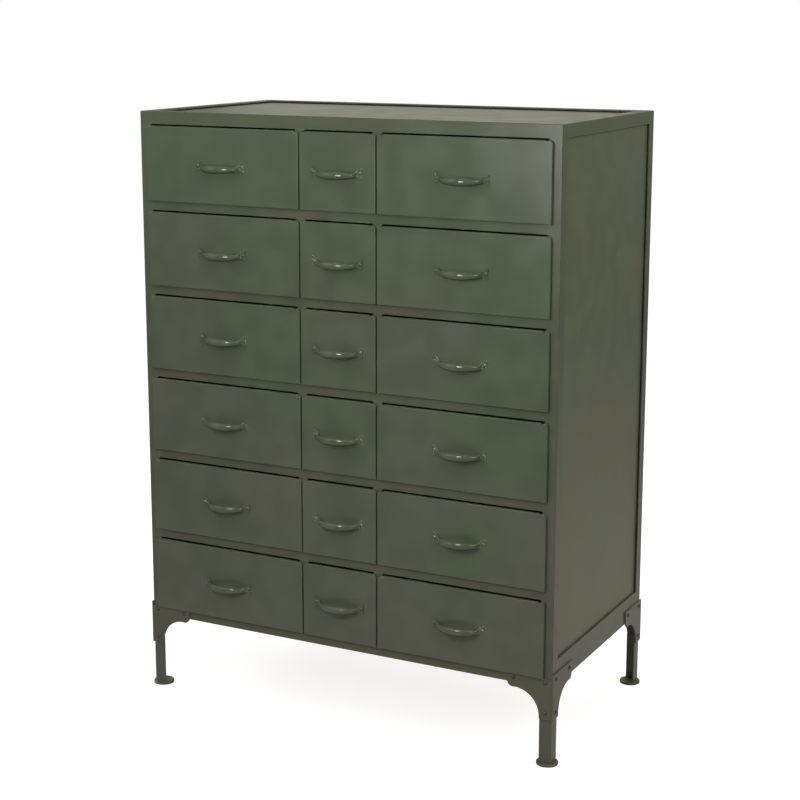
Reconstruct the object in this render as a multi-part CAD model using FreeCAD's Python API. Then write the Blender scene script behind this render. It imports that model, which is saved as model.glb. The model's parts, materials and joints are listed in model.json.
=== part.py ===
"""Metal drawer cabinet on four short legs: three columns of six drawers in a welded angle-iron frame."""

import FreeCAD, Part
import os

Vector = FreeCAD.Vector

# Frame. Millimetres: X runs along the width, -Y faces the drawers' side, Z is up from the floor.
width = 900.0              # over the outside of the frame
depth = 480.0
height = 1200.0
leg_height = 155.0         # floor to the underside of the frame
row_count = 6
centre_opening = 146.0     # clear width between the two dividers
divider_width = 20.0
angle_leg = 25.0           # leg of the angle iron
angle_thick = 2.5
angle_root_radius = 2.0    # inside corner of the angle iron
edge_round = 1.5           # outside corner of the angle iron
side_rail_height = 50.0    # bottom rail of each side

# Sheet panels, let in between the angles, behind the flanges that frame them.
sheet_thick = 0.8
panel_gap = 2.0            # open gap between a flange and the panel behind it

# Corner brackets and their rivets.
bracket_thick = 3.0
bracket_length = 96.0      # from the bracket's outer corner to the tip of a wing
bracket_arc = 50.0         # concave edge between tip and leg
bracket_foot_straight = 4.0
bracket_lobe_drop = 8.0    # round edge of the tip, below the underside of the frame
bracket_tip_slope = 2.5    # the tip leans in towards the leg
front_wing_gap = 1.0       # under the lowest drawer fronts
side_wing_rise = 26.0      # above the underside of the frame
rivet_from_top = 6.0
side_rivet_from_top = 10.0
rivet_from_tip = 15.5
low_rivet_from_foot = 13.0
rivet_head = 9.0
rivet_dome = 3.0
rivet_shank = 5.0
rivet_tail = 1.5
rivet_play = 0.1           # round a shank, each side

# Round feet.
foot_diameter = 42.0
foot_thick = 5.0
foot_round = 1.2

# Drawer fronts: folded pans that lap over the frame, with a slot left open above each.
front_sheet = 1.0
front_deep = 6.0
front_stand_off = 1.0      # between a shut front and the frame
front_bottom_lap = 7.0
front_top_slot = 3.0
column_gap = 2.4           # between fronts that are side by side
front_corner = 8.0         # the two upper corners
front_fold_round = 1.8
front_fold_relief = 4.4    # notch in the top fold at each end of the slot
front_lip = 18.0           # second fold, turned in behind the front

# Drawer trays and the angle runners under them.
tray_height = 130.0
tray_length = 430.0        # behind the plane of the frame's front
tray_side_play = 1.5
tray_lift = 0.3            # running gap above the runners
runner_ledge = 15.0
runner_ledge_thick = 3.0
runner_guide_height = 15.0
runner_guide_thick = 2.0

# Cast bow pulls.
pull_length = 112.0
pull_reach = 28.0
pull_tab_length = 15.0
pull_tab_thick = 2.6
pull_tab_neck = 10.0       # tab height beside the bow
pull_tab_spread = 21.0     # tab height at its outer end
pull_tab_bulge = 1.6       # the outer end is slightly round
pull_tab_waist = 1.8       # hollow of the tab's upper and lower edges
bow_end_overlap = 4.0      # the bow's ends run this far onto the tabs
bow_mid_height = 15.5
bow_end_height = 10.0
bow_mid_thick = 8.0
bow_end_thick = 5.0
bow_section_count = 13
pull_rivet_from_end = 5.6
pull_rivet_head = 6.6
pull_rivet_dome = 2.2
pull_rivet_shank = 3.5
pull_rivet_tail = 1.2

overrun = 2.0              # how far every cutting solid runs past what it cuts

# Places that follow from the sizes above. The origin is on the floor under the middle of the whole cabinet.
half_width = width / 2
front_reach = front_stand_off + front_deep + pull_reach
foot_overhang = (foot_diameter - angle_leg) / 2
front_y = (front_reach - depth - foot_overhang) / 2
back_y = front_y + depth
rim_under = height - angle_thick
panel_face = angle_thick + panel_gap       # from the outside of the frame in to a panel
panel_back = panel_face + sheet_thick
opening_height = (height - leg_height - angle_leg * (row_count + 1)) / row_count
row_pitch = opening_height + angle_leg
side_opening = (width - 2 * angle_leg - 2 * divider_width - centre_opening) / 2
post_inner_x = half_width - angle_leg
divider_x = (centre_opening + divider_width) / 2
front_side_lap = (divider_width - column_gap) / 2
front_face_y = front_y - front_stand_off - front_deep
bracket_foot_z = leg_height - bracket_lobe_drop - bracket_arc - bracket_foot_straight
front_wing_rise = angle_leg - front_bottom_lap - front_wing_gap
columns = {
    "left": (-post_inner_x, -post_inner_x + side_opening),
    "centre": (-centre_opening / 2, centre_opening / 2),
    "right": (post_inner_x - side_opening, post_inner_x),
}


def opening_bottom(row):
    """Height of the lower edge of a row's openings; row 1 is the top one."""
    return height - angle_leg - opening_height - (row - 1) * row_pitch


def block(x, y, z):
    """A box between three pairs of coordinates."""
    return Part.makeBox(x[1] - x[0], y[1] - y[0], z[1] - z[0], Vector(x[0], y[0], z[0]))


def joined(shapes):
    """Shapes fused into one clean solid."""
    return shapes[0].fuse(shapes[1:]).removeSplitter().Solids[0]


def flip_x(shape):
    return shape.mirror(Vector(0, 0, 0), Vector(1, 0, 0))


def flip_y(shape):
    """Mirrored between the front and the back of the frame."""
    return shape.mirror(Vector(0, front_y + depth / 2, 0), Vector(0, 1, 0))


def line(a, b):
    return Part.makeLine(a, b)


def arc(a, middle, b):
    return Part.Arc(a, middle, b).toShape()


def dome_rivet(grip, head, dome, shank, tail):
    """Rivet along Y: its domed head stands out to -Y of the origin, its tail is beyond the grip."""
    head_radius = head / 2
    ball = (head_radius ** 2 + dome ** 2) / (2 * dome)
    cap = Part.makeSphere(ball, Vector(0, ball - dome, 0))
    cap = cap.common(block((-head, head), (-dome - overrun, 0), (-head, head)))
    along = Vector(0, 1, 0)
    stem = Part.makeCylinder(shank / 2, grip, Vector(0, 0, 0), along)
    foot = Part.makeCylinder(head_radius, tail, Vector(0, grip, 0), along)
    return joined([cap, stem, foot])


def drill(shank, through):
    """Cutter for a rivet hole along Y, past both faces of what it goes through."""
    start = Vector(0, -overrun, 0)
    return Part.makeCylinder(shank / 2 + rivet_play, through + 2 * overrun, start, Vector(0, 1, 0))


# Frame


def corner_post():
    """Front right post: an angle with a rounded outside corner, from its foot to the rim."""
    x, y = half_width, front_y
    leg, thick, outer = angle_leg, angle_thick, edge_round
    inner = min(angle_root_radius, panel_gap)
    inner_turn = inner * (1 - 0.5 ** 0.5)
    outer_turn = outer * (1 - 0.5 ** 0.5)

    def at(from_side, from_front):
        return Vector(x - from_side, y + from_front, foot_thick)

    edges = [
        line(at(outer, 0), at(leg, 0)),
        line(at(leg, 0), at(leg, thick)),
        line(at(leg, thick), at(thick + inner, thick)),
        arc(at(thick + inner, thick), at(thick + inner_turn, thick + inner_turn), at(thick, thick + inner)),
        line(at(thick, thick + inner), at(thick, leg)),
        line(at(thick, leg), at(0, leg)),
        line(at(0, leg), at(0, outer)),
        arc(at(0, outer), at(outer_turn, outer_turn), at(outer, 0)),
    ]
    section = Part.Face(Part.Wire(Part.sortEdges(edges)[0]))
    return section.extrude(Vector(0, 0, rim_under - foot_thick))


def rim():
    """The whole top frame: a flat rim with a flange hanging between the posts on each side."""
    x, leg, thick = half_width, angle_leg, angle_thick
    flange_z = (height - leg, rim_under)
    plate = block((-x, x), (front_y, back_y), (rim_under, height))
    window = block((leg - x, x - leg), (front_y + leg, back_y - leg), (rim_under - overrun, height + overrun))
    front = block((leg - x, x - leg), (front_y, front_y + thick), flange_z)
    side = block((x - thick, x), (front_y + leg, back_y - leg), flange_z)
    whole = joined([plate.cut(window), front, flip_y(front), side, flip_x(side)])
    outer_edges = []
    for edge in whole.Edges:
        middle = edge.CenterOfMass
        on_side = abs(abs(middle.x) - x) < tiny
        on_end = min(abs(middle.y - front_y), abs(middle.y - back_y)) < tiny
        if (on_side or on_end) and abs(middle.z - height) < tiny:
            outer_edges.append(edge)
        if on_side and on_end:
            outer_edges.append(edge)
    return whole.makeFillet(edge_round, outer_edges)


def mitre(corners):
    """Upright cutter over the rim's height, from its corners in plan."""
    points = [Vector(px, py, height - angle_leg - overrun) for px, py in corners]
    plan = Part.Face(Part.makePolygon(points + points[:1]))
    return plan.extrude(Vector(0, 0, angle_leg + 2 * overrun))


def top_rails():
    """The rim parted on its mitres into four rails."""
    whole = rim()
    x, inside = half_width + overrun, half_width - angle_leg - overrun
    near, near_inside = front_y - overrun, front_y + angle_leg + overrun
    far, far_inside = back_y + overrun, back_y - angle_leg - overrun
    front = whole.common(mitre([(-x, near), (x, near), (inside, near_inside), (-inside, near_inside)]))
    back = whole.common(mitre([(-x, far), (x, far), (inside, far_inside), (-inside, far_inside)]))
    right = whole.common(mitre([(x, near), (x, far), (inside, far_inside), (inside, near_inside)]))
    return [front.Solids[0], back.Solids[0], right.Solids[0], flip_x(right.Solids[0])]


def front_rail(row):
    """Angle under a row's openings: its upper leg is the sill that the drawers pass over."""
    top = opening_bottom(row)
    across = (-post_inner_x, post_inner_x)
    face = block(across, (front_y, front_y + angle_thick), (top - angle_leg, top))
    sill = block(across, (front_y, front_y + angle_leg), (top - angle_thick, top))
    return joined([face, sill])


def rear_rail(row):
    """Angle inside the back panel that the far ends of a row's runners are welded to."""
    top = opening_bottom(row)
    low = max(top - angle_leg, leg_height + angle_thick + sheet_thick)
    inside = half_width - panel_back
    back = back_y - panel_back
    near = back - angle_leg
    face = block((-inside, inside), (near, near + angle_thick), (low, top))
    sill = block((-inside, inside), (near, back), (top - angle_thick, top))
    return joined([face, sill])


def divider_upright(row):
    """Flat bar between the right and the centre opening of a row."""
    bottom = opening_bottom(row)
    across = (divider_x - divider_width / 2, divider_x + divider_width / 2)
    return block(across, (front_y, front_y + angle_thick), (bottom, bottom + opening_height))


def rear_bottom_rail():
    across = (-post_inner_x, post_inner_x)
    face = block(across, (back_y - angle_thick, back_y), (leg_height, leg_height + angle_leg))
    sill = block(across, (back_y - angle_leg, back_y), (leg_height, leg_height + angle_thick))
    return joined([face, sill])


def side_bottom_rail():
    """Right side: a deep outer flange, and an inner one that the bottom panel lies on."""
    x, thick = half_width, angle_thick
    flange = block((x - thick, x), (front_y + angle_leg, back_y - angle_leg),
                   (leg_height, leg_height + side_rail_height))
    sill = block((x - angle_leg, x - thick), (front_y + angle_leg, back_y - angle_leg),
                 (leg_height, leg_height + thick))
    return joined([flange, sill])


def foot(centre_x, centre_y):
    disc = Part.makeCylinder(foot_diameter / 2, foot_thick, Vector(centre_x, centre_y, 0))
    rims = [edge for edge in disc.Edges if abs(edge.Length - disc.Edges[0].Length) < tiny]
    upper = [edge for edge in rims if abs(edge.CenterOfMass.z - foot_thick) < tiny]
    return disc.makeFillet(foot_round, upper)


# Panels


def side_panel():
    """Right side: it stands on the sill of its rail and butts on the posts and the rim."""
    across = (half_width - panel_back, half_width - panel_face)
    return block(across, (front_y + angle_thick, back_y - angle_thick), (leg_height + angle_thick, rim_under))


def back_panel():
    """Between the side panels, from the rear sill up to the top panel."""
    across = (panel_back - half_width, half_width - panel_back)
    upright = (leg_height + angle_thick, height - panel_back)
    return block(across, (back_y - panel_back, back_y - panel_face), upright)


def top_panel():
    """Between the side panels and the two long flanges of the rim."""
    across = (panel_back - half_width, half_width - panel_back)
    along = (front_y + angle_thick, back_y - angle_thick)
    return block(across, along, (height - panel_back, height - panel_face))


def bottom_panel():
    """Lies on the sills, between the side panels, the bottom front rail and the back panel."""
    across = (panel_back - half_width, half_width - panel_back)
    low = leg_height + angle_thick
    return block(across, (front_y + angle_thick, back_y - panel_back), (low, low + sheet_thick))


# Runners


def runner(edge_x, inward, row):
    """Angle along one side of an opening: a ledge under the tray and a guide beside it."""
    top = opening_bottom(row)
    back = back_y - panel_back
    outer = edge_x - inward * runner_guide_thick
    ledge_x = sorted([outer, edge_x + inward * runner_ledge])
    guide_x = sorted([outer, edge_x])
    ledge = block(ledge_x, (front_y + angle_leg, back - angle_leg), (top - runner_ledge_thick, top))
    guide = block(guide_x, (front_y + angle_thick, back), (top, top + runner_guide_height))
    return joined([ledge, guide])


# Corner brackets


def wing_outline(rise, at):
    """One bracket wing as a face; at(along, z) places a point, along being from the outer corner."""
    top = leg_height + rise
    foot_z = bracket_foot_z
    neck = bracket_thick + angle_leg
    arc_top = leg_height - bracket_lobe_drop
    arc_end = neck + bracket_arc
    diagonal = bracket_arc * 0.5 ** 0.5
    tip_low = bracket_length - bracket_tip_slope
    lobe_z = leg_height + bracket_tip_slope
    lobe_middle = (arc_end + tip_low + bracket_tip_slope) / 2
    edges = [
        line(at(0, foot_z), at(0, top)),
        line(at(0, top), at(bracket_length, top)),
        line(at(bracket_length, top), at(tip_low, lobe_z)),
        arc(at(tip_low, lobe_z), at(lobe_middle + bracket_tip_slope, arc_top + bracket_tip_slope),
            at(arc_end, arc_top)),
        arc(at(arc_end, arc_top), at(arc_end - diagonal, arc_top - bracket_arc + diagonal),
            at(neck, arc_top - bracket_arc)),
        line(at(neck, arc_top - bracket_arc), at(neck, foot_z)),
        line(at(neck, foot_z), at(0, foot_z)),
    ]
    return Part.Face(Part.Wire(edges))


def bracket():
    """Front right bracket: a bent plate round the outside of the post, rounded where it bends."""
    corner_x = half_width + bracket_thick
    corner_y = front_y - bracket_thick
    front_wing = wing_outline(front_wing_rise, lambda along, z: Vector(corner_x - along, corner_y, z))
    side_wing = wing_outline(side_wing_rise, lambda along, z: Vector(corner_x, corner_y + along, z))
    plate = joined([
        front_wing.extrude(Vector(0, bracket_thick, 0)),
        side_wing.extrude(Vector(-bracket_thick, 0, 0)),
    ])
    bend = [edge for edge in plate.Edges
            if abs(edge.CenterOfMass.x - corner_x) < tiny and abs(edge.CenterOfMass.y - corner_y) < tiny]
    return plate.makeFillet(bracket_thick * bend_round_share, bend)


def bracket_rivet_places(panel_inside):
    """Six rivets of a right-hand bracket as (on_side, along, z, grip); upper ones can hold a panel too."""
    over_leg = bracket_thick + angle_leg / 2
    over_rail = bracket_length - rivet_from_tip
    low_z = bracket_foot_z + low_rivet_from_foot
    grip = bracket_thick + angle_thick
    held = panel_gap + sheet_thick
    wings = [
        (False, front_wing_rise - rivet_from_top, held if panel_inside else 0),
        (True, side_wing_rise - side_rivet_from_top, held),
    ]
    places = []
    for on_side, rise, panel in wings:
        places.append((on_side, over_rail, leg_height + rise, grip + panel))
        places.append((on_side, over_leg, leg_height + rise, grip + panel))
        places.append((on_side, over_leg, low_z, grip))
    return places


def placed_on_bracket(shape, on_side, along, z):
    """A shape made along Y, moved to a place on the front or the side wing."""
    moved = shape.copy()
    if on_side:
        moved.rotate(Vector(0, 0, 0), Vector(0, 0, 1), 90)
        moved.translate(Vector(half_width + bracket_thick, front_y - bracket_thick + along, z))
    else:
        moved.translate(Vector(half_width + bracket_thick - along, front_y - bracket_thick, z))
    return moved


def bracket_rivets(panel_inside):
    rivets = []
    for on_side, along, z, grip in bracket_rivet_places(panel_inside):
        one = dome_rivet(grip, rivet_head, rivet_dome, rivet_shank, rivet_tail)
        rivets.append(placed_on_bracket(one, on_side, along, z))
    return rivets


def bracket_holes():
    holes = []
    for on_side, along, z, grip in bracket_rivet_places(True):
        holes.append(placed_on_bracket(drill(rivet_shank, grip), on_side, along, z))
    return holes


# Drawers


def pan_outline(x, z, radius, y):
    """Face in the plane y with rounded upper corners, from its left and right edges and its heights."""
    turn = radius * (1 - 0.5 ** 0.5)
    left, right = x
    low, high = z

    def at(px, pz):
        return Vector(px, y, pz)

    edges = [
        line(at(left, low), at(right, low)),
        line(at(right, low), at(right, high - radius)),
        arc(at(right, high - radius), at(right - turn, high - turn), at(right - radius, high)),
        line(at(right - radius, high), at(left + radius, high)),
        arc(at(left + radius, high), at(left + turn, high - turn), at(left, high - radius)),
        line(at(left, high - radius), at(left, low)),
    ]
    return Part.Face(Part.Wire(edges))


def drawer_front(column, row):
    """Folded pan: a face, its edges turned back, and a lip turned in behind them."""
    left, right = columns[column]
    bottom = opening_bottom(row)
    x = (left - front_side_lap, right + front_side_lap)
    z = (bottom - front_bottom_lap, bottom + opening_height - front_top_slot)
    pan = pan_outline(x, z, front_corner, front_face_y).extrude(Vector(0, front_deep, 0))
    face_edges = [edge for edge in pan.Edges if abs(edge.CenterOfMass.y - front_face_y) < tiny]
    pan = pan.makeFillet(front_fold_round, face_edges)
    skin = front_sheet
    hollow = pan_outline((x[0] + skin, x[1] - skin), (z[0] + skin, z[1] - skin), front_corner - skin,
                         front_face_y + skin).extrude(Vector(0, front_deep - 2 * skin, 0))
    window = block((x[0] + front_lip, x[1] - front_lip),
                   (front_face_y + skin, front_face_y + front_deep + overrun),
                   (z[0] + front_lip, z[1] - front_lip))
    pan = pan.cut(hollow).cut(window)
    relief = front_fold_relief / 2
    for notch_x in (left + relief, right - relief):
        start = Vector(notch_x, front_face_y - overrun, z[1])
        pan = pan.cut(Part.makeCylinder(relief, front_deep + 2 * overrun, start, Vector(0, 1, 0)))
    for hole_x in pull_rivet_places(column):
        hole = drill(pull_rivet_shank, front_sheet)
        hole.translate(Vector(hole_x, front_face_y, pull_height(row)))
        pan = pan.cut(hole)
    return pan.Solids[0]


def drawer_tray(column, row):
    """Folded tray, open on top, spot-welded to the lips of its front."""
    left, right = columns[column]
    bottom = opening_bottom(row) + tray_lift
    x = (left + tray_side_play, right - tray_side_play)
    y = (front_y - front_stand_off, front_y + tray_length)
    z = (bottom, bottom + tray_height)
    inner_x = (x[0] + sheet_thick, x[1] - sheet_thick)
    inner_y = (y[0] + sheet_thick, y[1] - sheet_thick)
    inside = block(inner_x, inner_y, (z[0] + sheet_thick, z[1] + overrun))
    return block(x, y, z).cut(inside).Solids[0]


# Bow pulls


def column_middle(column):
    return sum(columns[column]) / 2


def pull_height(row):
    """The pull's middle, half-way up its drawer front."""
    return opening_bottom(row) + (opening_height - front_top_slot - front_bottom_lap) / 2


def pull_rivet_places(column):
    out = pull_length / 2 - pull_rivet_from_end
    return [column_middle(column) - out, column_middle(column) + out]


def pull_tab():
    """Right-hand fishtail tab of a pull that is centred on the origin, standing on the plane y = 0."""
    inner = pull_length / 2 - pull_tab_length
    outer = pull_length / 2 - pull_tab_bulge
    neck, spread = pull_tab_neck / 2, pull_tab_spread / 2
    waist_x = (inner + outer) / 2
    waist = (neck + spread) / 2 - pull_tab_waist

    def at(px, pz):
        return Vector(px, -pull_tab_thick, pz)

    edges = [
        arc(at(inner, neck), at(waist_x, waist), at(outer, spread)),
        arc(at(outer, spread), at(outer + pull_tab_bulge, 0), at(outer, -spread)),
        arc(at(outer, -spread), at(waist_x, -waist), at(inner, -neck)),
        line(at(inner, -neck), at(inner, neck)),
    ]
    tab = Part.Face(Part.Wire(edges)).extrude(Vector(0, pull_tab_thick, 0))
    hole = drill(pull_rivet_shank, pull_tab_thick)
    hole.translate(Vector(pull_length / 2 - pull_rivet_from_end, -pull_tab_thick, 0))
    return tab.cut(hole)


def pull_bow():
    """Crescent bar: ellipses carried along a circular arc, tallest and thickest in its middle."""
    half_chord = pull_length / 2 - pull_tab_length + bow_end_overlap
    rise = pull_reach - bow_mid_thick / 2
    radius = (half_chord ** 2 + rise ** 2) / (2 * rise)
    rings = []
    for station in range(bow_section_count):
        share = 2 * station / (bow_section_count - 1) - 1
        along = share * half_chord
        out = (radius ** 2 - along ** 2) ** 0.5
        fullness = 1 - share ** 2
        tall = (bow_end_height + (bow_mid_height - bow_end_height) * fullness) / 2
        thick = (bow_end_thick + (bow_mid_thick - bow_end_thick) * fullness) / 2
        centre = Vector(along, radius - rise - out, 0)
        radial = Vector(along / radius, -out / radius, 0)
        ring = Part.Ellipse(centre + Vector(0, 0, tall), centre + radial * thick, centre)
        rings.append(Part.Wire(ring.toShape()))
    bar = Part.makeLoft(rings, True, True)
    behind = block((-pull_length, pull_length), (0, pull_reach), (-pull_length, pull_length))
    return bar.cut(behind)


def bow_pull():
    """One cast pull, centred on the origin and standing on the plane y = 0."""
    tab = pull_tab()
    return joined([pull_bow(), tab, flip_x(tab)])


def pull_rivet():
    """Dome-headed rivet through a tab and the drawer front, its head's seat on the plane y = 0."""
    grip = pull_tab_thick + front_sheet
    rivet = dome_rivet(grip, pull_rivet_head, pull_rivet_dome, pull_rivet_shank, pull_rivet_tail)
    rivet.translate(Vector(0, -pull_tab_thick, 0))
    return rivet


# What tells one edge from another, and shares of the sizes above.
tiny = 0.001
bend_round_share = 0.6


def all_nodes():
    """Every node of the cabinet by name, as a list of its solids."""
    nodes = {}
    holes = bracket_holes()
    post = corner_post()
    side_rail = side_bottom_rail()
    side = side_panel()
    corner = bracket()
    for hole in holes:
        post = post.cut(hole)
        side_rail = side_rail.cut(hole)
        side_rail = side_rail.cut(flip_y(hole))
        side = side.cut(hole)
        side = side.cut(flip_y(hole))
        corner = corner.cut(hole)
    bottom_front = front_rail(row_count)
    bottom_back = rear_bottom_rail()
    back = back_panel()
    for hole in holes:
        for one in (hole, flip_x(hole)):
            bottom_front = bottom_front.cut(one)
            bottom_back = bottom_back.cut(flip_y(one))
            back = back.cut(flip_y(one))

    foot_x = half_width - angle_leg / 2
    foot_y = front_y + angle_leg / 2
    disc = foot(foot_x, foot_y)
    nodes["front_right_post"] = [post]
    nodes["front_left_post"] = [flip_x(post)]
    nodes["rear_right_post"] = [flip_y(post)]
    nodes["rear_left_post"] = [flip_x(flip_y(post))]
    nodes["front_right_bracket"] = [corner]
    nodes["front_left_bracket"] = [flip_x(corner)]
    nodes["rear_right_bracket"] = [flip_y(corner)]
    nodes["rear_left_bracket"] = [flip_x(flip_y(corner))]
    discs = [disc, flip_y(disc)]
    nodes["round_feet"] = discs + [flip_x(one) for one in discs]
    right_rivets = bracket_rivets(False) + [flip_y(one) for one in bracket_rivets(True)]
    nodes["bracket_rivets"] = right_rivets + [flip_x(one) for one in right_rivets]

    nodes["top_frame_rails"] = top_rails()
    nodes["bottom_front_rail"] = [bottom_front]
    nodes["bottom_rear_rail"] = [bottom_back]
    nodes["bottom_right_rail"] = [side_rail]
    nodes["bottom_left_rail"] = [flip_x(side_rail)]
    nodes["front_cross_rails"] = [front_rail(row) for row in range(1, row_count)]
    nodes["rear_cross_rails"] = [rear_rail(row) for row in range(1, row_count + 1)]
    uprights = [divider_upright(row) for row in range(1, row_count + 1)]
    nodes["front_dividers"] = uprights + [flip_x(one) for one in uprights]

    nodes["top_panel"] = [top_panel()]
    nodes["bottom_panel"] = [bottom_panel()]
    nodes["back_panel"] = [back]
    nodes["right_side_panel"] = [side]
    nodes["left_side_panel"] = [flip_x(side)]

    runners = []
    for row in range(1, row_count + 1):
        for left, right in columns.values():
            runners.append(runner(left, 1, row))
            runners.append(runner(right, -1, row))
    nodes["drawer_runners"] = runners

    pull, rivet = bow_pull(), pull_rivet()
    for column in columns:
        for row in range(1, row_count + 1):
            nodes[f"{column}_drawer_{row}"] = [drawer_front(column, row), drawer_tray(column, row)]
            place = Vector(column_middle(column), front_face_y, pull_height(row))
            solids = [pull.translated(place)]
            for hole_x in pull_rivet_places(column):
                solids.append(rivet.translated(Vector(hole_x, front_face_y, pull_height(row))))
            nodes[f"{column}_pull_{row}"] = solids
    return nodes


def solids_of(shape):
    return shape.Solids if shape.Solids else [shape]


def main():
    os.makedirs("parts", exist_ok=True)
    for name, shapes in all_nodes().items():
        solids = [solid for shape in shapes for solid in solids_of(shape)]
        whole = solids[0] if len(solids) == 1 else Part.makeCompound(solids)
        whole.exportStep(f"parts/{name}.step")
        print(name, len(solids), "solid(s)", round(sum(solid.Volume for solid in solids)), "mm3")


main()
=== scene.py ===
"""The looks of a tall metal drawer cabinet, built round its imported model.

A lesson in cells: every cell that makes something is preceded by a short explanation of what the
piece or the finish is on the real cabinet, and why it is made the way it is. Lengths are in metres.
"""

# %% [markdown]
# The cabinet's frame, panels, drawers and rivets are already solid models at their real size, so the
# script starts by loading them. They are never moved or reshaped here: they only get their paint.
# What a solid modeller makes poorly, such as the flowing cast pulls, is made again as a fine mesh.

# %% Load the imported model
import json
import math

import bpy
import numpy as np
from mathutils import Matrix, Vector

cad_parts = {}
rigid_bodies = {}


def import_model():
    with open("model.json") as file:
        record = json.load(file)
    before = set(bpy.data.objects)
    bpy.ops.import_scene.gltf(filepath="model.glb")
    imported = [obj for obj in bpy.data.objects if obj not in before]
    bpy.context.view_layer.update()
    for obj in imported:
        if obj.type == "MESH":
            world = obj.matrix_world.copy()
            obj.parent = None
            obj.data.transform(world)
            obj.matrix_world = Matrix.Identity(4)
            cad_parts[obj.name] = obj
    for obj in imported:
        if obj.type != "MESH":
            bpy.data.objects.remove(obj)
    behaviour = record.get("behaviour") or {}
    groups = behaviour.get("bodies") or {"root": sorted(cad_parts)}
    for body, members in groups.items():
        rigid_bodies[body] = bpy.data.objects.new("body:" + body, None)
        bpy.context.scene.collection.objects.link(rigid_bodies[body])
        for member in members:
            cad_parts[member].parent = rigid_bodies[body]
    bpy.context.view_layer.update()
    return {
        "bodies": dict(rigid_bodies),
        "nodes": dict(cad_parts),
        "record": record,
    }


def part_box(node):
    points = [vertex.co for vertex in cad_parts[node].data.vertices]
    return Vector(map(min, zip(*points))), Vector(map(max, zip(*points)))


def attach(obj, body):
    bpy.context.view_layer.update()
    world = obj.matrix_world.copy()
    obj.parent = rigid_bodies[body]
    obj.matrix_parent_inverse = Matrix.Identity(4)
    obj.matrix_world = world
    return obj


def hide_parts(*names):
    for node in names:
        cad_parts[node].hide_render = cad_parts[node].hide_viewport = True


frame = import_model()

mm = 0.001

# %% [markdown]
# The drawers are named by column and row, with row 1 at the top. Reading the names from the frame
# keeps the script right if a row is ever added.

# %% Find the drawers
drawers = sorted(name for name in frame["bodies"] if "_drawer_" in name)
pull_of = {name: name.replace("_drawer_", "_pull_") for name in drawers}
print("drawers:", len(drawers))

# %% [markdown]
# The photograph was taken standing in front of the cabinet and to its right, at eye level, with a
# moderate telephoto lens. The camera is placed by that point and turned by two angles, which is
# easier to reason about than a target to look at. A little lens shift frames the cabinet as it is
# framed there, without turning the camera away from it.

# %% Camera
camera_place = (1.588, -3.053, 1.397)
camera_azimuth = math.radians(27.65)
camera_tilt = math.radians(-11.33)
camera_data = bpy.data.cameras.new("camera")
camera_data.lens = 77.7
camera_data.shift_x = 0.0135
camera_data.shift_y = -0.056
camera = bpy.data.objects.new("camera", camera_data)
camera.location = camera_place
camera.rotation_euler = (math.pi / 2 + camera_tilt, 0, camera_azimuth)
bpy.context.scene.collection.objects.link(camera)
bpy.context.scene.camera = camera
print("camera", math.degrees(camera_azimuth), "degrees to the right of the front")

# %% [markdown]
# A surface is described by arrays: a grid of points that two parameters run over. One helper turns
# such grids into a mesh. Their faces follow from the grid alone, so no vertex is visited in a loop.

# %% Faces of a tube


def tube_faces(rows, columns):
    """Side quads and the two end faces of a closed tube of rings.

    Corner (i, j) has the number i * columns + j, and column j + 1 wraps round to 0.
    """
    i, j = np.meshgrid(np.arange(rows - 1), np.arange(columns), indexing="ij")
    ahead = (j + 1) % columns
    corners = (i * columns + j, i * columns + ahead, (i + 1) * columns + ahead, (i + 1) * columns + j)
    sides = np.stack(corners, axis=-1).reshape(-1, 4)
    first = np.arange(columns)[::-1]
    last = (rows - 1) * columns + np.arange(columns)
    return sides.tolist() + [first.tolist(), last.tolist()]


# %% Mesh of tubes
sharp_above = math.radians(50)


def mesh_object(name, tubes, body):
    """One object from tubes of points, smooth but for sharp edges, riding on a body."""
    faces, start = [], 0
    for points in tubes:
        rows, columns = points.shape[:2]
        faces += [[corner + start for corner in face] for face in tube_faces(rows, columns)]
        start += rows * columns
    mesh = bpy.data.meshes.new(name)
    mesh.from_pydata(np.concatenate([points.reshape(-1, 3) for points in tubes]).tolist(), [], faces)
    mesh.validate()
    mesh.shade_smooth()
    mesh.set_sharp_from_angle(angle=sharp_above)
    piece = bpy.data.objects.new(name, mesh)
    bpy.context.scene.collection.objects.link(piece)
    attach(piece, body)
    return piece


# %% [markdown]
# A pull is one iron casting: a flat tab that spreads like a fish's tail at each end, and a bow
# between them that is tallest and thickest in the middle and hangs a little lower than its tabs. It
# could be carved from a block, but it is really one section carried along one path, so it is worked
# out that way. These are the sizes that the casting is known by.

# %% Sizes of a pull
pull_length = 112 * mm
tab_length = 15 * mm
tab_thick = 2.6 * mm
tab_spread = 21 * mm
tab_neck = 8.6 * mm
tab_notch = 2.2 * mm
tab_dish = 0.45  # share of the tab's thickness that its face is dished by
rim_bevel = 2 * mm
bow_reach = 28 * mm
bow_mid_height = 15.6 * mm
bow_end_height = 6.8 * mm
bow_mid_thick = 9 * mm
bow_end_thick = 5 * mm
bow_drop = 4 * mm
bow_half_chord = pull_length / 2 - tab_length + 4 * mm
rivet_from_end = 5.6 * mm
rivet_head = 7 * mm
rivet_dome = 1.3 * mm

# %% [markdown]
# Along the pull, one feature runs out while the next begins. These spans say where, measured from
# the pull's end: a feature is absent at the first distance and fully there at the second.

# %% Spans of a pull
tab_span = (20 * mm, 12 * mm)
spread_span = (tab_length, 3 * mm)
dish_span = (1.5 * mm, 4.5 * mm)
notch_span = (5 * mm, 0)
drop_span = (9 * mm, 19 * mm)
bevel_left = 0.1  # share of the front's height that the bevel leaves at the very end
tab_front_power, tab_back_power, tab_side_power = 6, 9, 3.2
pull_stations = 84
pull_section_points = 36


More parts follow.
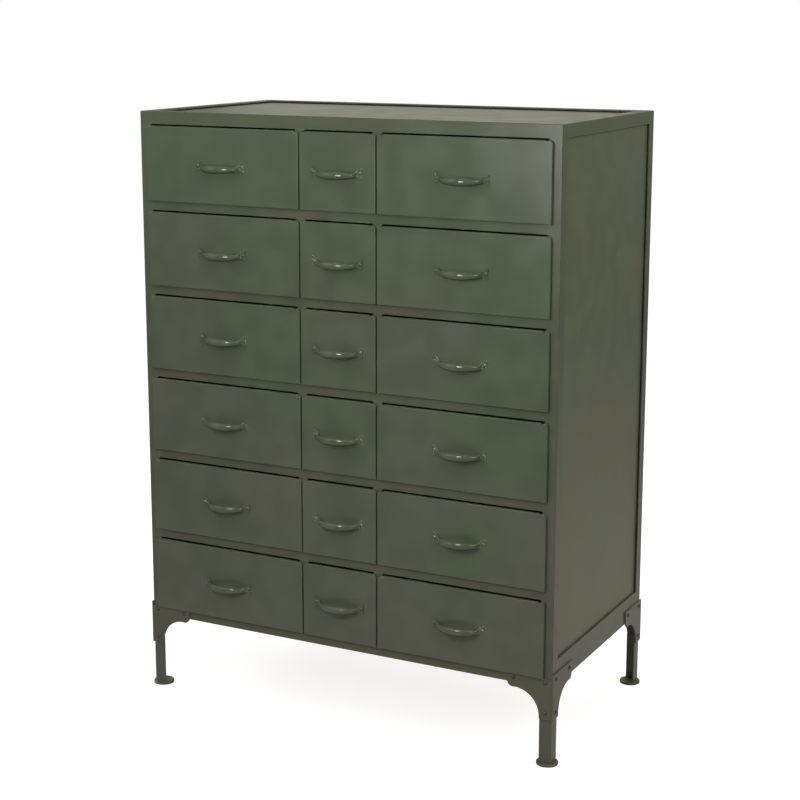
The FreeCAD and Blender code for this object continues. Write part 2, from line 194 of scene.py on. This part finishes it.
def smooth_step(low, high, value):
    """0 at low, 1 at high, and 3 t^2 - 2 t^3 between, t being the share of the way from low to high."""
    t = np.clip((value - low) / (high - low), 0, 1)
    return t * t * (3 - 2 * t)


# %% [markdown]
# The path runs flat through a tab, swings out along a circle, and comes back. Its points lie closer
# together at the tabs, which have the finer shape.

# %% Path of a pull
crowding = 0.6


def pull_path():
    """Centre line of a pull as (along, out), from one end to the other.

    The bow is a circle through the two ends of its chord. Its height and the half thickness of the
    tab are combined as the cube root of the sum of their cubes, which rounds the corner between them.
    A share s of the stations has gone s - crowding * sin(2 pi s) / (2 pi) of the length.
    """
    rise = bow_reach - bow_mid_thick / 2
    radius = (bow_half_chord ** 2 + rise ** 2) / (2 * rise)
    x = np.linspace(-pull_length / 2, pull_length / 2, 4001)
    lift = np.sqrt(np.maximum(radius ** 2 - x ** 2, 0)) - (radius - rise)
    out = np.cbrt((tab_thick / 2) ** 3 + np.maximum(lift, 0) ** 3)
    length = np.concatenate([[0], np.cumsum(np.hypot(np.diff(x), np.diff(out)))])
    share = np.linspace(0, 1, pull_stations)
    gone = length[-1] * (share - crowding * np.sin(2 * np.pi * share) / (2 * np.pi))
    return np.interp(gone, length, x), np.interp(gone, length, out)


# %% [markdown]
# The section is a superellipse, whose two powers make it anything from an ellipse to nearly a
# rectangle. In the bow it is an ellipse. In a tab it has a flat back and a face that is dished
# inside a raised border, which is what catches the light round the rivets.

# %% Section of a pull


def half_sizes(from_end, fullness):
    """Half the height and half the thickness of each ring, the bow's going over into the tab's."""
    tab = smooth_step(*tab_span, from_end)
    bow_tall = (bow_end_height + (bow_mid_height - bow_end_height) * fullness) / 2
    bow_thick = (bow_end_thick + (bow_mid_thick - bow_end_thick) * fullness) / 2
    tab_tall = (tab_neck + (tab_spread - tab_neck) * smooth_step(*spread_span, from_end)) / 2
    return bow_tall + (tab_tall - bow_tall) * tab, bow_thick + (tab_thick / 2 - bow_thick) * tab


def pull_surface():
    """Points of one pull, centred on the origin and standing on the plane y = 0, out along -Y.

    Ring point = centre + normal * thick * sgn(cos) |cos|^(2/p) + up * tall * sgn(sin) |sin|^(2/q).
    The last stretch is bevelled down to the drawer at 45 degrees, the end is notched by pulling the
    middle of each ring inwards, and the bow is let down by its drop.
    """
    x, out = pull_path()
    from_end = pull_length / 2 - np.abs(x)
    tab = smooth_step(*tab_span, from_end)[:, None]
    fullness = 1 - np.minimum(np.abs(x) / bow_half_chord, 1) ** 2
    tall, thick = half_sizes(from_end, fullness)
    bevel = 1 - (1 - bevel_left) * np.clip(1 - from_end / rim_bevel, 0, 1)
    tall = tall * (0.85 + 0.15 * bevel)

    run_x, run_out = np.gradient(x), np.gradient(out)
    run = np.hypot(run_x, run_out)
    normal_x, normal_out = -run_out / run, run_x / run
    turn = np.linspace(0, 2 * np.pi, pull_section_points, endpoint=False)[None, :]
    cosine, sine = np.cos(turn), np.sin(turn)
    front = cosine > 0
    power = np.where(front, 2 + (tab_front_power - 2) * tab, 2 + (tab_back_power - 2) * tab)
    side_power = 2 + (tab_side_power - 2) * tab
    dish = 1 - tab_dish * (1 - np.abs(sine) ** 3) * tab * smooth_step(*dish_span, from_end)[:, None]
    depth = np.where(front, (2 * bevel[:, None] - 1) * dish, 1) * thick[:, None]
    across = np.sign(cosine) * np.abs(cosine) ** (2 / power) * depth
    up = np.sign(sine) * np.abs(sine) ** (2 / side_power) * tall[:, None]

    middle = (1 - np.clip(np.abs(up) / (tab_spread / 2), 0, 1) ** 2) ** 2
    notch = tab_notch * middle * smooth_step(*notch_span, from_end)[:, None]
    drop = bow_drop * smooth_step(*drop_span, from_end)[:, None]
    place_x = x[:, None] + normal_x[:, None] * across - np.sign(x)[:, None] * notch
    place_out = out[:, None] + normal_out[:, None] * across
    return np.stack([place_x, -place_out, up - drop], axis=-1)


casting = pull_surface()
print("pull mesh:", casting.shape)

# %% [markdown]
# Each tab is held by one rivet, hammered to a low dome. A flattened ball would do, but its rim would
# be loose on the tab, so the dome is the top of a larger ball with a short straight rim below it.

# %% Rivet head
dome_rings = 7
dome_points = 20
rim_sunk = 0.3 * mm


def dome_surface(diameter, height):
    """Rivet head: a spherical cap on the plane y = 0, bulging to -Y.

    With ball radius R = (r^2 + h^2) / 2h, the ring at polar angle a has radius R sin a and stands
    R cos a - (R - h) above its seat.
    """
    radius = diameter / 2
    ball = (radius ** 2 + height ** 2) / (2 * height)
    steepest = math.asin(radius / ball)
    polar = np.linspace(steepest, steepest / dome_rings / 4, dome_rings)
    ring_radius = np.concatenate([[radius], ball * np.sin(polar)])
    ring_out = np.concatenate([[-rim_sunk], ball * np.cos(polar) - (ball - height)])
    turn = np.linspace(0, 2 * np.pi, dome_points, endpoint=False)
    y = np.repeat(-ring_out[:, None], dome_points, axis=1)
    return np.stack([ring_radius[:, None] * np.cos(turn), y, ring_radius[:, None] * np.sin(turn)], axis=-1)


head = dome_surface(rivet_head, rivet_dome)
print("rivet head:", head.shape)

# %% [markdown]
# Eighteen pulls are the same casting at eighteen places. Each place is read from the solid pull that
# the new one stands for, so both always agree, and each pull rides on its own drawer.

# %% The eighteen pulls
rivet_seats = [np.array([side * (pull_length / 2 - rivet_from_end), -tab_thick, 0]) for side in (-1, 1)]
pulls = []
for drawer in drawers:
    low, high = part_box(pull_of[drawer])
    front_low, front_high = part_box(drawer)
    place = np.array([(low.x + high.x) / 2, front_low.y, (low.z + high.z) / 2])
    tubes = [casting + place] + [head + seat + place for seat in rivet_seats]
    pull = mesh_object(drawer.replace("_drawer_", "_bow_pull_"), tubes, drawer)
    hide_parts(pull_of[drawer])
    pulls.append(pull)
print("pulls:", len(pulls), "faces each:", len(pulls[0].data.polygons))

# %% [markdown]
# Paint colours are written as the hex values that a colour picker shows. A renderer works in linear
# light, so one function takes every hex value there. A second small function adds a shader node with
# its settings and its links, so that a material reads as a list of what it is made of.

# %% Colour and node helpers


def linear(hex_colour):
    """Linear RGBA from an sRGB hex colour: v / 12.92 below 0.04045, else ((v + 0.055) / 1.055) ^ 2.4."""
    values = np.array([int(hex_colour[i:i + 2], 16) for i in (1, 3, 5)]) / 255
    low, high = values / 12.92, ((values + 0.055) / 1.055) ** 2.4
    return (*np.where(values <= 0.04045, low, high).tolist(), 1.0)


def add_node(material, kind, settings=None, inputs=None):
    """A node of a kind, with its properties set and its inputs given as values or as other sockets."""
    node = material.node_tree.nodes.new(kind)
    for name, value in (settings or {}).items():
        setattr(node, name, value)
    for name, value in (inputs or {}).items():
        if isinstance(value, bpy.types.NodeSocket):
            material.node_tree.links.new(value, node.inputs[name])
        else:
            node.inputs[name].default_value = value
    return node


smooth = {"interpolation_type": "SMOOTHSTEP"}  # settings of a Map Range node that eases in and out
of_colours = {"data_type": "RGBA"}  # settings of a Mix node: inputs 6 and 7 are its colours, output 2 the mix

# %% [markdown]
# The whole cabinet is sprayed with one semi-gloss enamel, a dark grey-green. Sprayed enamel is never
# one flat colour. It drifts slowly between a greener and a browner tone, browner towards the floor
# and greener towards the top, and a fine cloudiness shades it by a few percent.

# %% Colour drift
drift_size = 240 * mm
lowest, highest = 0.15, 1.15


def drifting_colour(material, place, cloud, green, brown, browner_below):
    """Slow noise picks between green and brown, and the cloud multiplies the colour by 0.95 to 1.05.

    browner_below is added to the noise near the floor and taken off it near the top.
    """
    drift = add_node(material, "ShaderNodeTexNoise", {}, {
        "Vector": place, "Scale": 1 / drift_size, "Detail": 0.5}).outputs["Fac"]
    height = add_node(material, "ShaderNodeSeparateXYZ", {}, {"Vector": place}).outputs["Z"]
    height_tilt = add_node(material, "ShaderNodeMapRange", smooth, {
        "Value": height, "From Min": lowest, "From Max": highest,
        "To Min": browner_below, "To Max": -browner_below}).outputs[0]
    tilted_drift = add_node(material, "ShaderNodeMath", {"operation": "ADD"}, {0: drift, 1: height_tilt}).outputs[0]
    share = add_node(material, "ShaderNodeMapRange", smooth, {
        "Value": tilted_drift, "From Min": 0.25, "From Max": 0.75}).outputs[0]
    colour = add_node(material, "ShaderNodeMix", of_colours, {
        0: share, 6: linear(green), 7: linear(brown)}).outputs[2]
    shade = add_node(material, "ShaderNodeMapRange", smooth, {
        "Value": cloud, "From Min": 0.3, "From Max": 0.7, "To Min": 0.95, "To Max": 1.05}).outputs[0]
    grey = add_node(material, "ShaderNodeCombineColor", {}, {
        "Red": shade, "Green": shade, "Blue": shade}).outputs[0]
    return add_node(material, "ShaderNodeMix", {**of_colours, "blend_type": "MULTIPLY"}, {
        0: 1.0, 6: colour, 7: grey}).outputs[2]


# %% [markdown]
# Paint is thinnest on edges, and hands and cloths rub it paler there, though not all along. The pale
# tone is also a painted highlight, standing for the light that an edge catches. An edge is found by
# comparing the surface's normal with that of a slightly rounded copy of it: on a flat face the two
# agree, and near an edge they don't.

# %% Rubbed edges and painted highlights
rubbed_and_highlit_width = 1.1 * mm


def rubbed_and_highlit_edges(material, colour, cloud, worn_and_highlit, edge_share):
    """Mixes the pale edge colour in by edge times patch, both from 0 to 1, times edge_share; it is partly wear
    and partly a painted highlight.
    """
    rounded = add_node(material, "ShaderNodeBevel", {"samples": 4}, {"Radius": rubbed_and_highlit_width}).outputs[0]
    normal = add_node(material, "ShaderNodeNewGeometry").outputs["Normal"]
    agree = add_node(material, "ShaderNodeVectorMath", {"operation": "DOT_PRODUCT"}, {
        0: rounded, 1: normal}).outputs["Value"]
    edge = add_node(material, "ShaderNodeMapRange", smooth, {
        "Value": agree, "From Min": 0.995, "From Max": 0.86, "To Max": edge_share}).outputs[0]
    patch = add_node(material, "ShaderNodeMapRange", smooth, {
        "Value": cloud, "From Min": 0.4, "From Max": 0.62}).outputs[0]
    share = add_node(material, "ShaderNodeMath", {"operation": "MULTIPLY"}, {0: edge, 1: patch}).outputs[0]
    return add_node(material, "ShaderNodeMix", of_colours, {0: share, 6: colour, 7: linear(worn_and_highlit)}).outputs[2]


# %% [markdown]
# The corners that light barely reaches, round a rivet and between a panel and its frame, get a
# painted shade: a near-black tone mixed into the colour. Ambient occlusion measures how closed in a point is
# within a few millimetres.

# %% Painted shade in corners
corner_shade_reach = 3 * mm


def shaded_corners(material, colour, corner_shade_share):
    """Mixes painted shade in, from nothing where half the view is open to corner_shade_share where almost none
    is.
    """
    open_share = add_node(material, "ShaderNodeAmbientOcclusion", {"samples": 6}, {
        "Distance": corner_shade_reach}).outputs["AO"]
    corner_shade = add_node(material, "ShaderNodeMapRange", smooth, {
        "Value": open_share, "From Min": 0.05, "From Max": 0.5,
        "To Min": corner_shade_share, "To Max": 0.0}).outputs[0]
    return add_node(material, "ShaderNodeMix", of_colours, {0: corner_shade, 6: colour, 7: linear("#10120E")}).outputs[2]


# %% [markdown]
# Thin sheet is never quite flat, which shows as slow waves in what it reflects, and sprayed paint
# dries with the fine dimples called orange peel. Modelling them would take millions of faces, so
# they only turn the normal. The peel is really about 2 mm wide, and is drawn a little coarser.

# %% Waves and orange peel
wave_size, ripple_size, peel_size = 210 * mm, 48 * mm, 3.2 * mm
ripple_share = 1 / 3
peel_height = 0.015 * mm


def wavy_normal(material, place, wave_height):
    """The normal after three layers of noise, each a height in metres added to the one before."""
    layers = (
        (wave_size, 1.0, wave_height),
        (ripple_size, 0.0, wave_height * ripple_share),
        (peel_size, 1.0, peel_height),
    )
    inputs = {}
    for size, detail, height in layers:
        bumps = add_node(material, "ShaderNodeTexNoise", {}, {
            "Vector": place, "Scale": 1 / size, "Detail": detail}).outputs["Fac"]
        inputs = {**inputs, "Height": bumps, "Distance": height, "Strength": 1.0}
        inputs = {"Normal": add_node(material, "ShaderNodeBump", {}, inputs).outputs[0]}
    return inputs["Normal"]


# %% [markdown]
# One function puts the layers together, and each kind of piece gets its own mix. The gloss varies a
# little with the cloud. Each range of roughness is kept narrow and wholly on one side of 0.27,
# because the denoiser draws a contour where a surface crosses that value.

# %% Sprayed enamel
cloud_size = 42 * mm
enamel_ior = 1.48


def sprayed_enamel(name, tones, edge_and_corner_shares, roughness, wave_height, browner_below):
    """Semi-gloss enamel. Tones are (green, brown, pale edge), edge_and_corner_shares the shares of (pale edges
    that are partly a painted highlight, painted corner shade).
    """
    material = bpy.data.materials.new(name)
    material.use_nodes = True
    shader = material.node_tree.nodes["Principled BSDF"]
    place = add_node(material, "ShaderNodeTexCoord").outputs["Object"]
    cloud = add_node(material, "ShaderNodeTexNoise", {}, {
        "Vector": place, "Scale": 1 / cloud_size, "Detail": 0.0}).outputs["Fac"]

    green, brown, worn_and_highlit = tones
    edge_share, corner_shade_share = edge_and_corner_shares
    colour = drifting_colour(material, place, cloud, green, brown, browner_below)
    # Pale edges, partly rubbed paint and partly a painted highlight.
    colour = rubbed_and_highlit_edges(material, colour, cloud, worn_and_highlit, edge_share)
    # Painted shade: a near-black tone in the corners that light barely reaches.
    colour = shaded_corners(material, colour, corner_shade_share)
    sheen = add_node(material, "ShaderNodeMapRange", smooth, {
        "Value": cloud, "From Min": 0.25, "From Max": 0.75,
        "To Min": roughness[0], "To Max": roughness[1]}).outputs[0]
    material.node_tree.links.new(colour, shader.inputs["Base Color"])
    material.node_tree.links.new(sheen, shader.inputs["Roughness"])
    material.node_tree.links.new(wavy_normal(material, place, wave_height), shader.inputs["Normal"])
    shader.inputs["IOR"].default_value = enamel_ior
    return material


# %% [markdown]
# The same spray looks different on each kind of steel, so there are five mixes of it.

# %% The five enamels
# Rolled angle iron is straight and thick: calm reflections, a browner tone, and paler edges, partly rubbed and
# partly a painted highlight.
enamel_on_angle_iron = sprayed_enamel(
    "enamel_on_angle_iron", ("#4D5745", "#535448", "#868A7A"), (0.6, 0.5), (0.29, 0.37), 0.2 * mm, 0.1)
# The large sheets are rubbed least and have the flattest gloss, so they look soft and even.
enamel_on_sheet = sprayed_enamel(
    "enamel_on_sheet", ("#555E4B", "#5B5C4A", "#767A6B"), (0.3, 0.5), (0.33, 0.39), 0.25 * mm, 0.12)
# The folded fronts are the greenest and the most wavy: the lamp's glow on them has a crooked edge, and their
# folds get the full pale edge tone as a painted highlight.
enamel_on_fronts = sprayed_enamel(
    "enamel_on_fronts", ("#4A5846", "#53584B", "#9A9D92"), (1.0, 0.25), (0.28, 0.36), 0.5 * mm, 0.1)
# Iron castings hold a thick coat that dries nearly glossy: small sharp highlights, and tab edges rubbed pale and
# painted near-white as glints.
enamel_on_castings = sprayed_enamel(
    "enamel_on_castings", ("#4B5946", "#54594C", "#CBCEC1"), (0.9, 0.1), (0.12, 0.19), 0.05 * mm, 0.1)
# The bracket rivets get a darker copy of the paint and strong painted shade round their heads: they look like
# dark dots.
shaded_enamel_on_rivets = sprayed_enamel(
    "shaded_enamel_on_rivets", ("#3C4537", "#434439", "#6A6E60"), (0.3, 0.8), (0.29, 0.37), 0.05 * mm, 0.1)
print("enamels made")

# %% [markdown]
# The underside of a bow faces away from the lamps, and its shade is painted into the colour as a dark tone. It
# could be painted by hand, but the side of the casting that faces down is known from its normals alone.

# %% Painted shade under the bows


def shade_beneath(material, underside_shade, most):
    """Mixes a painted shade into the colour where the surface faces down, up to the given share."""
    shader = material.node_tree.nodes["Principled BSDF"]
    unshaded = shader.inputs["Base Color"].links[0].from_socket
    normal = add_node(material, "ShaderNodeNewGeometry").outputs["Normal"]
    upward = add_node(material, "ShaderNodeSeparateXYZ", {}, {"Vector": normal}).outputs["Z"]
    share = add_node(material, "ShaderNodeMapRange", smooth, {
        "Value": upward, "From Min": -0.1, "From Max": -0.7, "To Max": most}).outputs[0]
    shaded_underside = add_node(material, "ShaderNodeMix", of_colours, {0: share, 6: unshaded, 7: linear(underside_shade)}).outputs[2]
    material.node_tree.links.new(shaded_underside, shader.inputs["Base Color"])


# Painted shade: a near-black tone on the downward faces of every bow and tab.
shade_beneath(enamel_on_castings, "#1C1F19", 0.8)
print("grease under the bows")

# %% [markdown]
# Every solid node takes the enamel of its kind: thick angle iron, thin sheet, or folded fronts. The
# record names a paint for each node, so that name picks the material. The bracket rivets share the
# frame's paint in the record and get a darker copy of it here, with painted shade round their heads.

# %% Paint the nodes
paints = {
    "frame_paint": enamel_on_angle_iron,
    "panel_paint": enamel_on_sheet,
    "drawer_paint": enamel_on_fronts,
    "pull_paint": enamel_on_castings,
}
for part in frame["record"]["subparts"]:
    node = frame["nodes"][part["node"]]
    node.data.materials.clear()
    node.data.materials.append(paints[part["material_slot"]])
frame["nodes"]["bracket_rivets"].data.materials[0] = shaded_enamel_on_rivets
for pull in pulls:
    pull.data.materials.append(enamel_on_castings)
print("painted:", len(frame["nodes"]) + len(pulls))

# %% [markdown]
# The cabinet stands on a plain pale floor in a white room. The camera sees both as white, and the
# floor still takes the cabinet's shadow. A white room would also light the cabinet from all round
# and lie over its gloss like milk, so light and gloss get much less of it, as in a dimmed studio.

# %% What sees the white


def seen_share(tree_owner, gloss_share):
    """1 for rays that the camera or glass sees, a smaller share for gloss, 0 for light on the object."""
    path = add_node(tree_owner, "ShaderNodeLightPath")
    direct = add_node(tree_owner, "ShaderNodeMath", {"operation": "MAXIMUM"}, {
        0: path.outputs["Is Camera Ray"], 1: path.outputs["Is Transmission Ray"]}).outputs[0]
    gloss = add_node(tree_owner, "ShaderNodeMath", {"operation": "MULTIPLY"}, {
        0: path.outputs["Is Glossy Ray"], 1: gloss_share}).outputs[0]
    return add_node(tree_owner, "ShaderNodeMath", {"operation": "MAXIMUM"}, {0: direct, 1: gloss}).outputs[0]


# %% [markdown]
# The floor is a warm grey near the cabinet, which lights the legs and the lowest drawers from below.
# Farther out it is darker, so that it doesn't fill the whole front with light, and its glow rises
# until it is one with the room.

# %% Floor
floor_half = 9.0
floor_near = 0.8
floor_darkest = 2.6
floor_white = 2.2
floor_mesh = bpy.data.meshes.new("floor")
floor_mesh.from_pydata(
    [(-floor_half, -floor_half, 0), (floor_half, -floor_half, 0), (floor_half, floor_half, 0),
     (-floor_half, floor_half, 0)], [], [(0, 1, 2, 3)])
floor = bpy.data.objects.new("floor", floor_mesh)
bpy.context.scene.collection.objects.link(floor)
floor_paint = bpy.data.materials.new("matt_pale_floor")
floor_mesh.materials.append(floor_paint)
floor_paint.use_nodes = True
floor_shader = floor_paint.node_tree.nodes["Principled BSDF"]
floor_shader.inputs["Roughness"].default_value = 0.95
floor_shader.inputs["Specular IOR Level"].default_value = 0.1
floor_shader.inputs["Emission Color"].default_value = (1, 1, 1, 1)

floor_place = add_node(floor_paint, "ShaderNodeTexCoord").outputs["Object"]
floor_distance = add_node(floor_paint, "ShaderNodeVectorMath", {"operation": "LENGTH"}, {
    0: floor_place}).outputs["Value"]
far_share = add_node(floor_paint, "ShaderNodeMapRange", smooth, {
    "Value": floor_distance, "From Min": floor_near, "From Max": floor_darkest}).outputs[0]
floor_colour = add_node(floor_paint, "ShaderNodeMix", of_colours, {
    0: far_share, 6: linear("#AEA8A2"), 7: linear("#707070")}).outputs[2]
floor_paint.node_tree.links.new(floor_colour, floor_shader.inputs["Base Color"])
far_white = add_node(floor_paint, "ShaderNodeMapRange", smooth, {
    "Value": floor_distance, "From Min": floor_near, "From Max": floor_white,
    "To Min": 0.8, "To Max": 1.0}).outputs[0]
floor_glow = add_node(floor_paint, "ShaderNodeMath", {"operation": "MULTIPLY"}, {
    0: far_white, 1: seen_share(floor_paint, 0.1)}).outputs[0]
floor_paint.node_tree.links.new(floor_glow, floor_shader.inputs["Emission Strength"])
print("floor made")

# %% World
world_light = 0.15
world = bpy.data.worlds.new("studio")
bpy.context.scene.world = world
world.use_nodes = True
background = world.node_tree.nodes["Background"]
seen = seen_share(world, 0.12)
strength = add_node(world, "ShaderNodeMapRange", {}, {
    "Value": seen, "To Min": world_light, "To Max": 1.0}).outputs[0]
room_colour = add_node(world, "ShaderNodeMix", of_colours, {
    0: seen, 6: linear("#FFF8E4"), 7: (1, 1, 1, 1)}).outputs[2]
world.node_tree.links.new(room_colour, background.inputs["Color"])
world.node_tree.links.new(strength, background.inputs["Strength"])
print("world made")

# %% [markdown]
# The highlights on the pulls tell where the main lamp stood: a soft box less than half a metre wide,
# close in front of the cabinet and as high as its top row. The upper right drawers mirror it as a
# pale glow. The other lamps light what that one leaves dark. Large ones would cover the gloss with
# streaks that the photograph doesn't show, so they are left out of reflections.

# %% Area lamp


def area_lamp(name, place, aim, size, power, colour=(1, 1, 1), in_gloss=True):
    """Square lamp at a place, facing a point, out of the camera's sight."""
    data = bpy.data.lights.new(name, "AREA")
    data.size = size
    data.energy = power
    data.color = colour
    lamp = bpy.data.objects.new(name, data)
    lamp.visible_camera = False
    lamp.visible_glossy = in_gloss
    lamp.location = place
    direction = np.array(aim) - np.array(place)
    flat = math.hypot(direction[0], direction[1])
    lamp.rotation_euler = (math.pi / 2 + math.atan2(direction[2], flat), 0,
                           math.atan2(direction[1], direction[0]) - math.pi / 2)
    bpy.context.scene.collection.objects.link(lamp)


# %% Lamps
# The soft box that makes the highlight in the middle of each bow.
area_lamp("key_lamp", (0.17, -1.60, 1.2), (0.0, 0.0, 0.75), 0.42, 9.5, (1, 0.97, 0.92))
# A wide ceiling light for the top and for an even fall of light down the fronts.
area_lamp("overhead_lamp", (-0.2, -1.4, 3.3), (0.0, 0.0, 0.9), 3.6, 55, in_gloss=False)
# A window's worth of light from the front left.
area_lamp("front_left_lamp", (-2.9, -3.0, 2.0), (-0.2, 0.0, 0.9), 2.4, 16, (1, 0.97, 0.93))
# A small lamp that gives the second glint, at the right end of each bow.
area_lamp("right_lamp", (2.2, -1.25, 2.0), (0.45, 0.0, 0.9), 0.8, 9)
# A large one that lights the right side panel.
area_lamp("right_fill", (3.2, 0.5, 2.7), (0.45, 0.0, 1.0), 2.4, 60, (1, 0.98, 0.95), in_gloss=False)
# Two for the sides that the photograph doesn't show.
area_lamp("left_lamp", (-2.7, 1.1, 1.9), (-0.45, 0.1, 0.6), 1.2, 42)
area_lamp("back_lamp", (0.9, 3.2, 1.9), (0.1, 0.25, 0.6), 1.4, 50, in_gloss=False)
# A dim patch of wall behind, which the top panel mirrors.
area_lamp("wall_glow", (-1.5, 3.2, 1.6), (0.0, 0.25, 1.1), 1.6, 4, (1, 0.95, 0.91))
print("lamps made")

# %% [markdown]
# The standard view transform shows colours as they are written.

# %% View settings
bpy.context.scene.view_settings.view_transform = "Standard"
